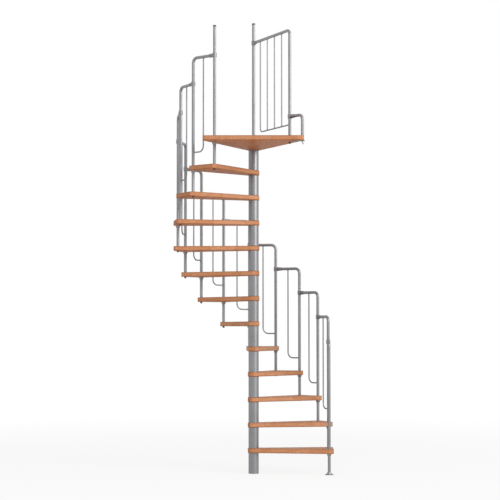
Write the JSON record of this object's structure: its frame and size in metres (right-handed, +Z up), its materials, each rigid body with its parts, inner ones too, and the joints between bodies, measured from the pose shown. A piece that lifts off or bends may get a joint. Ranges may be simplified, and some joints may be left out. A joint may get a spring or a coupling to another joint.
{
  "type": "spiral staircase",
  "caption": "Open-riser spiral staircase of wooden treads on a steel column, with a stepped rail of bent tubes, thin infill rods, and a wedge-shaped landing with a guard.",
  "frame": {"origin": "on the column's axis at floor level, in the middle of the base flange's underside", "axes": "+Z up along the column, -Y out over the landing's front edge, +X towards the first tread"},
  "size_m": [1.4117, 1.4893, 3.981],
  "materials": {
    "beech": "clear satin varnish",
    "column_steel": "satin silver-grey coating",
    "tube_steel": "satin silver-grey coating",
    "rod_steel": "satin silver-grey coating",
    "fitting_metal": "satin silver-grey coating",
    "bolt_steel": "dark zinc plated",
    "cap_plastic": "matt dark grey"
  },
  "bodies": {
    "root": {"base_flange": "column_steel", "centre_newel": "tube_steel", "column_core": "column_steel", "column_sleeves": "column_steel", "edge_hoop": "tube_steel", "end_post": "tube_steel", "guard_clamps": "fitting_metal", "guard_frame": "tube_steel", "guard_infill": "rod_steel", "infill_rods": "rod_steel", "landing": "beech", "landing_bracket": "fitting_metal", "newel_bush": "column_steel", "post_caps": "cap_plastic", "post_collars": "fitting_metal", "rail_clamps": "fitting_metal", "rail_post_01": "tube_steel", "rail_post_02": "tube_steel", "rail_post_03": "tube_steel", "rail_post_04": "tube_steel", "rail_post_05": "tube_steel", "rail_post_06": "tube_steel", "rail_post_07": "tube_steel", "rail_post_08": "tube_steel", "rail_post_09": "tube_steel", "rail_post_10": "tube_steel", "rail_post_11": "tube_steel", "starter_foot": "fitting_metal", "starter_post": "tube_steel", "tread_01": "beech", "tread_02": "beech", "tread_03": "beech", "tread_04": "beech", "tread_05": "beech", "tread_06": "beech", "tread_07": "beech", "tread_08": "beech", "tread_09": "beech", "tread_10": "beech", "tread_11": "beech", "tread_12": "beech", "tread_bolts": "bolt_steel"}
  },
  "joints": []
}
